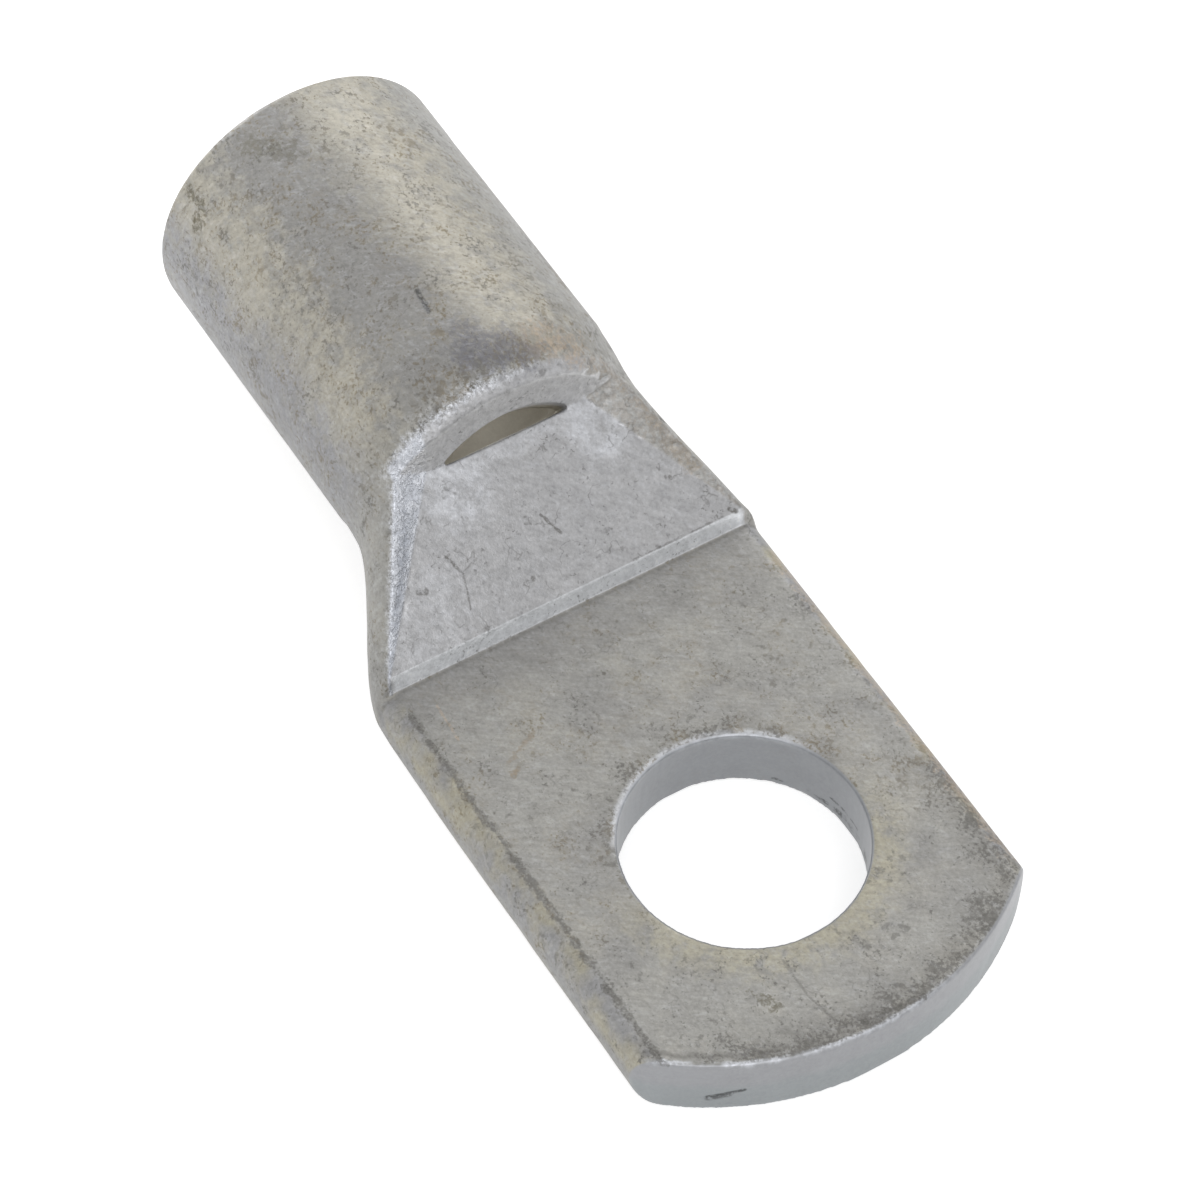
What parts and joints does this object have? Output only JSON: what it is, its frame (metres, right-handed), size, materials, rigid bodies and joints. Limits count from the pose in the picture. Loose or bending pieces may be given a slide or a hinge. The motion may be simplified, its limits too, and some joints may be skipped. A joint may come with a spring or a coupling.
{
  "type": "cable lug",
  "caption": "Tinned copper tube lug with a round crimp barrel, a pressed ramp with an inspection slit, and a flat palm with a stud hole.",
  "frame": {"origin": "centre of the stud hole, on the palm's contact face", "axes": "+Z out of the contact face through the palm, +X along the lug towards the barrel's mouth"},
  "size_m": [0.0381, 0.0154, 0.011],
  "materials": {
    "tinned_copper": "matt tin plating, tarnished"
  },
  "bodies": {
    "root": {"lug": "tinned_copper"}
  },
  "joints": []
}
